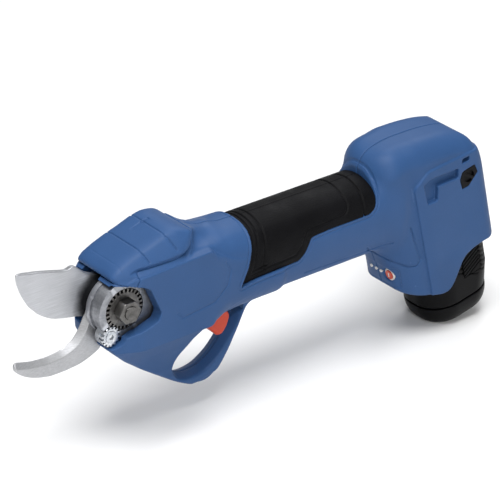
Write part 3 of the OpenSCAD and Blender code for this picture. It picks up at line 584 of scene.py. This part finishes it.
def hump_field(f):
    """The hump: its top narrows to the sides by the same facets all along."""
    w = HEAD_HALF_W - 0.6
    section = both_sides([(-w, -30), (-w, 26), (-w + 3, 32), (-17, 39), (-12, 41)], 0)
    plan = both_sides([(-14, -14), (-9, -17.6), (8, -w), (33, -w), (41, -22.6), (46, -18.6),
                       (50, -13), (57, -7), (70, -3)], 1)
    drop = HUMP_TOP - np.interp(f.x, *zip(*CROWN)).astype(np.float32)
    facets = outline_distance(f.y, f.z + drop, eased(section, 3))
    hump = meet(2.0, f.side(eased(HUMP, 5)), facets, f.plan(eased(plan, 6)))
    # grooves across, the second turning back as it goes down the side
    turned = np.maximum(abs(f.y) - 16, 0)
    for line, low in ((f.x - 11.6 - 0.5 * turned, 27), (f.x - 28.3 - 0.62 * turned, 30)):
        hump = groove(hump, np.maximum(abs(line), low - f.z), 0.35, 0.8)
    hump = groove(hump, np.maximum(abs(f.x + 2.9), 24 - f.z), 0.2, 0.3)
    # a plain sunk panel, deepest along its far side and its back end
    panel = meet(0.5, abs(f.x - 26) - 6.1, abs(f.y - 2.6) - 2.9)
    depth = np.clip(1.1 - 0.22 * (6 - f.y) - 0.05 * (32 - f.x), 0.1, 1.1)
    return groove(hump, panel, 0, depth)


def body_field(f):
    """The whole outside of the housing, cover included, before its openings."""
    body = join(7, head_field(f), handle_field(f))
    body = join(8, body, rear_field(f))
    fillet = np.interp(f.x, [30, 44, 58, 80], [0.6, 4, 12, 12]).astype(np.float32)
    body = join(fillet, body, hump_field(f))
    # a valley parts the hump from the side panels
    reach = np.interp(f.x, [0, 6, 40, 47, 51], [0.1, 1.5, 1.9, 1.3, 0.1]).astype(np.float32)
    valley = np.sqrt(f.line(VALLEY) ** 2 + body ** 2) - reach
    return cut(body, valley, 1.2)


def rounded_plan(f, front, back, half_w, front_r, back_r):
    """An upright block in the leaned frame, with its own radii in front and behind."""
    middle = (front + back) / 2
    r = np.where(f.u > middle, back_r, front_r).astype(np.float32)
    along = abs(f.u - middle) - (back - front) / 2 + r
    over = abs(f.y) - half_w + r
    outer = np.sqrt(np.maximum(along, 0) ** 2 + np.maximum(over, 0) ** 2)
    return np.minimum(np.maximum(along, over), 0) + outer - r


def rear_field(f):
    """The battery housing: a crowned dome, with a flat raised panel on each side."""
    side = f.side(eased(REAR, 6))
    soften = 2.2 + 12 * step(f.w, 0, 36)
    front = np.interp(f.w, [-40, 0, 30], [-40, -43.5, -46]).astype(np.float32)
    waist = REAR_HALF_W - PANEL_RISE - 1.6 * step(-f.u, 8, 20)
    body = meet(soften, side, rounded_plan(f, front, REAR_BACK_U, waist, 21, 9))
    panel = meet(0.7, f.side(eased(REAR_PANEL, 3)), rounded_plan(f, -46, REAR_BACK_U, REAR_HALF_W, 4, 9),
                 side + 0.4, body - 1.6)
    return join(0.6, body, panel)


def sweep_field(f):
    """What the bevel sector swings through, behind the pivot."""
    return meet(0, f.y_bar(0, 0, SWEEP_R), abs(f.y - SWEEP_Y) - SWEEP_HALF_W, 1 - f.x)


def hollow_parts(f, side):
    """All that is open inside the shells, as the drive, board and battery need it."""
    wide = 60
    # the hub well is deeper on the left, where the hub shows
    well_y, well_half_w = (6, 10) if side > 0 else (-9.8, 6.2)
    switch_slot = [(57.6, -40), (57.6, -24), (70, -24), (90, -28), (90, -35), (78, -48), (63, -40)]
    yield np.maximum(f.y_bar(0, 0, HUB_WELL_R), abs(f.y - well_y) - well_half_w)
    # the blades' slot, the sector and the middle of the gear case
    yield f.block((-wide, -4.4, -wide), (-3, 10.6, 19.6))
    yield sweep_field(f)
    yield np.maximum(f.y_bar(0, 0, 19.6), abs(f.y - SWEEP_Y) - SWEEP_HALF_W)
    yield f.block((4, -17, -15.4), (45.5, -6, 15.4))
    # the gear tube and the motor
    yield np.maximum(f.x_bar(15.5), abs(f.x - 36) - 10)
    yield np.maximum(f.x_bar(18.4), abs(f.x - 86) - 42)
    # the trigger and its switch
    yield f.block((66, -7.2, -34.5), (91, 7.2, -17))
    yield np.maximum(f.side(switch_slot), abs(f.y) - 7.2)
    # the hollow grip and the way of the leads
    yield handle_field(f, 3.8, 130, 170)
    yield np.maximum(f.x_bar(9), abs(f.x - 167) - 47)
    # the battery's stem and collar, and the bay of the control board
    yield np.maximum(rounded_plan(f, -12.4, 29.4, 20.1, 9, 9), f.w - 7.6)
    yield np.maximum(rounded_plan(f, -17, 34, 22, 12, 12), f.w + 39.5)
    yield np.maximum(rounded_plan(f, -36, -13.5, 19, 12, 3), abs(f.w + 10) - 36)


def with_details(f, body, side):
    """The body with the pockets, slots and lines of its outer faces."""
    outer = abs(f.y) - REAR_HALF_W
    for outline, depth, ease in ((L_POCKET, 3.4, 1.0), (SLOT, 6.0, 0.4), (STRAP, 2.5, 0.8)):
        body = carve(body, np.maximum(f.side(eased(outline, ease)), -(outer + depth)))
    body = groove(body, f.line(BOSS_LINE), 0.5, 0.8)
    body = groove(body, np.maximum(f.line(SPINE_LINE), f.z + 12), 0.5, 0.6)
    body = groove(body, abs(f.side(eased(RUBBER, 2)) - 1.7), 0.4, 0.6)
    body = groove(body, f.line(PANEL_LINE), 0.4, 0.5)
    # a sunk panel on the nose, with the power button and the charge lamps in it
    nose = meet(1.0, abs(f.y) - 16, abs(f.w + 42) - 7.5)
    body = groove(body, np.maximum(nose, f.u + 28), 0, 0.6)
    front = abs(f.u + 40) - 8
    if side < 0:
        button = np.sqrt((f.y - BUTTON_Y) ** 2 + (f.w - BUTTON_W) ** 2) - BUTTON_R
        button = button - np.maximum(BUTTON_FACE_U - f.u, 0)
        body = carve(body, np.maximum(button, front))
    for y in LAMP_YS:
        lamp = np.sqrt((f.y - y) ** 2 + (f.w - BUTTON_W - 1) ** 2) - LAMP_R
        body = carve(body, np.maximum(lamp, front))
    return body


def make_shell(side):
    """One housing half: side -1 is the tool's left, 1 its right."""
    low_y, high_y = (-26.5, 1.0) if side < 0 else (-1.0, 26.5)
    f = Field((-16, low_y, -77), (282, high_y, 43), 0.5 * COARSE)
    body = np.maximum(body_field(f), SEAM_GAP - f.side(SEAM))
    # the guard thins out towards its faces
    beside = step((f.x - 62) * 0.54 - (f.z + 48) * 0.84, -3, 6)
    opening = f.side(eased(FINGER, 4)) - 0.42 * beside * np.maximum(abs(f.y) - 1.5, 0)
    body = cut(body, opening, 1.6)
    under_rubber = handle_field(f, RUBBER_T, 60, 190)
    body = carve(body, np.maximum(f.side(eased(RUBBER, 2)), -under_rubber))
    if side < 0:
        body = carve(body, np.maximum(f.side(eased(WINDOW, 1.2)), f.y - HUB_FLOOR_Y),
                     np.maximum(f.y_bar(LOCK_X, LOCK_Z, LOCK_WELL_R), f.y + 3.6))
    body = with_details(f, body, side)
    for x, z in SCREWS:
        if side > 0:
            body = carve(body, np.maximum(f.y_bar(x, z, SCREW_HEAD_R), 8 - f.y))
        body = carve(body, np.maximum(f.y_bar(x, z, SCREW_R), -6.8 - f.y))
    body = carve(body, *hollow_parts(f, side))
    body = meet(0.45, body, 0.06 - side * f.y)
    name = "left_housing" if side < 0 else "right_housing"
    skin(name + "_skin", f, body, "body", "blue_shell", (name,))


def make_cover():
    """The hump over the gears: the part of the body above the seam, hollow for the gears."""
    f = Field((-13, -27, 13), (70, 27, 43), 0.45 * COARSE)
    cover = meet(0.3, body_field(f), f.side(SEAM))
    cover = carve(cover, sweep_field(f), f.block((-20, -4.4, 0), (1, 10.6, 19.6)),
                  f.block((14, -14, 10), (46, 14, 31)))
    skin("head_cover_skin", f, cover, "body", "blue_shell", ("head_cover",))


def make_grip(side):
    """The rubber on one side of the grip, with a raised panel and rings at its ends."""
    low_y, high_y = (-24, 1.0) if side < 0 else (-1.0, 24)
    f = Field((75, low_y, -13), (186, high_y, 26), 0.45 * COARSE)
    edge = f.side(eased(RUBBER, 2))
    rubber = meet(0.5, handle_field(f, 0.0, 60, 200), edge + 0.25)
    rubber = groove(rubber, abs(f.side(eased(RUBBER_PANEL, 2))), 0.6, 0.7)
    for inset in (3.2, 6.2):
        ring = np.maximum(abs(edge + inset), f.x - 97)
        rubber = groove(rubber, np.maximum(ring, -4 - f.z), 0.6, 0.8)
    rubber = groove(rubber, abs(f.x - 173 - 0.12 * (f.z - 20)), 0.6, 0.8)
    rubber = carve(rubber, handle_field(f, RUBBER_T - 0.1, 60, 200))
    rubber = meet(0.25, rubber, 0.03 - side * f.y)
    name = "left_grip" if side < 0 else "right_grip"
    skin(name + "_skin", f, rubber, "body", "black_rubber", (name,))


# ---------- trigger and battery ----------

TRIGGER = [(58.6, -30), (58.6, -34.2), (63.4, -37.4), (68.6, -42), (72.6, -46.8), (76.4, -47),
           (80, -42.6), (82.4, -36), (80, -31.4), (70, -26.6), (62, -25.4)]
TRIGGER_PIN_X, TRIGGER_PIN_Z = 62, -29


def make_trigger():
    """The trigger, with rib lines across its finger face and a pocket for its spring."""
    f = Field((57, -7.5, -49), (85, 7.5, -24), 0.3 * COARSE)
    body = meet(1.6, f.side(eased(TRIGGER, 2)), abs(f.y) - 6.5)
    for k in range(4):
        body = cut(body, f.y_bar(61.6 + 3.1 * k, -38.3 - 2.9 * k, 0.7), 0.5)
    body = carve(body, f.y_bar(TRIGGER_PIN_X, TRIGGER_PIN_Z, 1.55),
                 f.block((72.6, -3, -41.5), (90, 3, -29)))
    skin("trigger_skin", f, body, "trigger", "red_plastic", ("trigger",))


def make_power_mark():
    """The pale bar moulded into the power button."""
    f = Field((199, -11, -51), (205, -7, -45), 0.15)
    low = (-37.6, BUTTON_Y - 0.4, BUTTON_W - 1.5)
    high = (-37.1, BUTTON_Y + 0.4, BUTTON_W + 1.5)
    skin("power_mark", f, f.lean_block(low, high), "power_button", "pale_plastic")


def battery_plan(f, half_l, half_w, front_r, back_r):
    """A rounded plan about the middle of the battery."""
    return rounded_plan(f, BATTERY_U - half_l, BATTERY_U + half_l, half_w, front_r, back_r)


def battery_field():
    """The outside of the battery below its stem, case and base in one."""
    f = Field((200, -23, -96), (279, 23, 14), 0.55 * COARSE)
    # the lower edge turns in by a quarter ellipse, and the base is rounder than the case
    turn = np.clip((-82 - f.w) / 12, 0, 1)
    inset = 7 * (1 - np.sqrt(1 - turn ** 2))
    back_r = np.interp(f.w, [-94, -78, -64], [19, 17, 11.5]).astype(np.float32)
    plan = battery_plan(f, BATTERY_HALF_L, BATTERY_HALF_W, 19, back_r) + inset
    return f, meet(1.5, plan, BATTERY_LOW - f.w, f.w - BATTERY_TOP)


def make_battery_case():
    """The case round the cells, with its stem, its latch windows and the ribs beside them."""
    f, body = battery_field()
    case = np.maximum(body, BATTERY_SEAM + 0.15 - f.w)
    case = groove(case, abs(f.w - BATTERY_SEAM), 0.6, 0.5)
    window = meet(1.0, abs(f.u - LATCH_U) - 7.1, abs(f.w - LATCH_W) - 10.1)
    case = carve(case, np.maximum(window, 15.5 - abs(f.y)))
    near = meet(0, abs(f.w - LATCH_W) - 12, abs(f.u - LATCH_U) - 13, 12 - abs(f.y))
    slant = (f.w - LATCH_W) * math.cos(0.5) + (f.u - LATCH_U) * math.sin(0.5)
    for k in range(-3, 4):
        case = groove(case, np.maximum(abs(slant - 3.0 * k), near), 0.55, 0.6)
    stem = meet(1.0, battery_plan(f, STEM_HALF_L, STEM_HALF_W, 8.5, 8.5), BATTERY_TOP - 1 - f.w,
                f.w - STEM_TOP)
    case = np.minimum(case, stem)
    for u, y in ((-9.6, -9.4), (-9.6, 9.4), (7, 0)):
        cell = np.sqrt((f.u - BATTERY_U - u) ** 2 + (f.y - y) ** 2) - 9.5
        case = carve(case, np.maximum(cell, f.w - CELLS_TOP))
    for y in (-6, -2, 2, 6):
        case = carve(case, f.lean_block((-6, y - 0.9, -2), (6, y + 0.9, 20)))
    skin("battery_case_skin", f, case, "battery", "black_plastic", ("battery_case",))


def make_battery_base():
    """The foot of the battery, with four screw bores and a hollow above."""
    f, body = battery_field()
    base = np.maximum(body, f.w - BATTERY_SEAM + 0.15)
    base = groove(base, abs(f.w - BATTERY_SEAM), 0.6, 0.5)
    for u in (-15, 15):
        for y in (-11, 11):
            bore = np.sqrt((f.u - BATTERY_U - u) ** 2 + (f.y - y) ** 2) - 3
            base = carve(base, np.maximum(bore, f.w + 90.6))
    base = carve(base, np.maximum(battery_plan(f, 22, 18.5, 16, 14), -86 - f.w))
    skin("battery_base_skin", f, base, "battery", "black_plastic", ("battery_base",))


# ---------- blades ----------

HOOK_EDGE = [(-12, 9.4), (-16.4, -2), (-19.6, -7.7), (-22.5, -13.2), (-27.5, -18.6), (-34.5, -21.3),
             (-44.7, -22.2), (-54.9, -21.2), (-61.6, -19.5), (-64.8, -18.4)]
HOOK = HOOK_EDGE + [(-66.7, -19.6), (-66.9, -23.4), (-60.3, -28.3), (-53.7, -31.2), (-44.3, -33.5),
                    (-34, -33.6), (-23.6, -32.7), (-16.6, -30.6), (-9.5, -27.4), (-4, -18), (4, -12),
                    (0, 0)]
HOOK_MOUTH = [(-12, 40)] + HOOK_EDGE + [(-74, -15), (-80, 40)]
CUTTER_EDGE = [(-61.9, 31), (-61.3, 28.4), (-58.9, 21.5), (-54.6, 13.2), (-48.1, 6), (-41.6, 1.4),
               (-36.2, -1), (-30.1, -2.6), (-24.7, -3.6), (-19, -5)]
CUTTER = [(-61.7, 34.2)] + CUTTER_EDGE + [
    (-12, -8), (0, -14.6), (10, -10), (14, 4), (6, 13.4), (-6, 17.6), (-14, 20.6), (-20.9, 27),
    (-23.6, 28.2), (-27.8, 26.6), (-36, 29), (-46.4, 31.8), (-53.7, 33.2), (-60.8, 35.2)]
CUTTER_MOUTH = [(-90, 60), (-64, 36)] + CUTTER_EDGE + [(-19, -60), (-90, -60)]
HOOK_FACE_Y, HOOK_BACK_Y = -4.0, -0.4
CUTTER_FACE_Y, CUTTER_BACK_Y = 0.1, 3.3


def slab(f, face, back):
    """What lies between two faces across the tool."""
    return abs(f.y - (face + back) / 2) - (back - face) / 2


def make_hook():
    """The fixed blade, its inner edge ground back towards the outer face."""
    f = Field((-68, -4.4, -34), (16, 0, 16), 0.3 * COARSE)
    body = np.minimum(f.side(eased(HOOK, 3)), f.y_bar(0, 0, 14.6))
    body = meet(0.35, body, slab(f, HOOK_FACE_Y, HOOK_BACK_Y))
    ground = f.side(eased(HOOK_MOUTH, 3)) - (HOOK_BACK_Y - 0.3 - f.y) * 0.95
    body = carve(body, np.maximum(ground, f.x + 14), f.y_bar(0, 0, 4.1))
    for z in (9.5, -9.5):
        body = carve(body, f.y_bar(9.5, z, 1.7))
    finish = brushed_steel("hook_brushed", (0.46, 0.465, 0.48), 0.42, (500, 300, 1900),
                           metallic=0.75)
    skin("hook_blade_skin", f, body, "body", "blade_steel", ("hook_blade",), finish)


def make_cutter():
    """The moving blade, ground from its far face, with holes for the bush and screws."""
    f = Field((-64, -0.2, -16), (16, 3.8, 37), 0.3 * COARSE)
    body = meet(0.25, f.side(eased(CUTTER, 2.5)), slab(f, CUTTER_FACE_Y, CUTTER_BACK_Y))
    ground = f.side(eased(CUTTER_MOUTH, 3)) - (f.y - CUTTER_FACE_Y - 0.35) * 2.4
    body = carve(body, ground, f.y_bar(0, 0, 7.05))
    for turn in (40, 140, 270):
        angle = math.radians(turn)
        body = carve(body, f.y_bar(10.6 * math.cos(angle), -10.6 * math.sin(angle), 1.5))
    finish = brushed_steel("cutter_brushed", (0.51, 0.52, 0.545), 0.36, (60, 400, 2400),
                           blackened=(0.0215, 0.028))
    skin("cutting_blade_skin", f, body, "blade", "blade_steel", ("cutting_blade",), finish)


# ---------- carried-over CAD parts ----------

def dress(name, slot, edge):
    """Gives a CAD part its finish, and breaks its sharp edges."""
    part = nodes[name]
    part.data.materials.clear()
    part.data.materials.append(finishes[slot])
    if edge:
        weld = part.modifiers.new("weld", "WELD")
        weld.merge_threshold = 0.000004
        bevel = part.modifiers.new("edges", "BEVEL")
        bevel.width = edge * MM
        bevel.segments = 2
        bevel.limit_method = "ANGLE"
        bevel.angle_limit = math.radians(32)
        bevel.use_clamp_overlap = True
        bevel.harden_normals = True


def dress_cad_parts():
    """Give every CAD piece its finish, and round the edges of those that are seen."""
    edges = {"gear_case": 0.3, "pivot_bolt": 0.35, "pivot_nut": 0.4, "lock_disc": 0.16,
             "lock_gear": 0.25, "lock_screw": 0.25, "left_latch": 0.3, "right_latch": 0.3,
             "power_button": 0.4, "button_bezel": 0.2, "charge_lamps": 0.25,
             "left_strap_insert": 0.3, "right_strap_insert": 0.3, "housing_screws": 0.2,
             "battery_screws": 0.2}
    for part in frame["record"]["subparts"]:
        dress(part["node"], part["material_slot"], edges.get(part["node"], 0))


make_camera()
finishes = make_finishes()
make_stage()
dress_cad_parts()
make_shell(-1)
make_shell(1)
make_cover()
make_grip(-1)
make_grip(1)
make_trigger()
make_power_mark()
make_battery_case()
make_battery_base()
make_hook()
make_cutter()
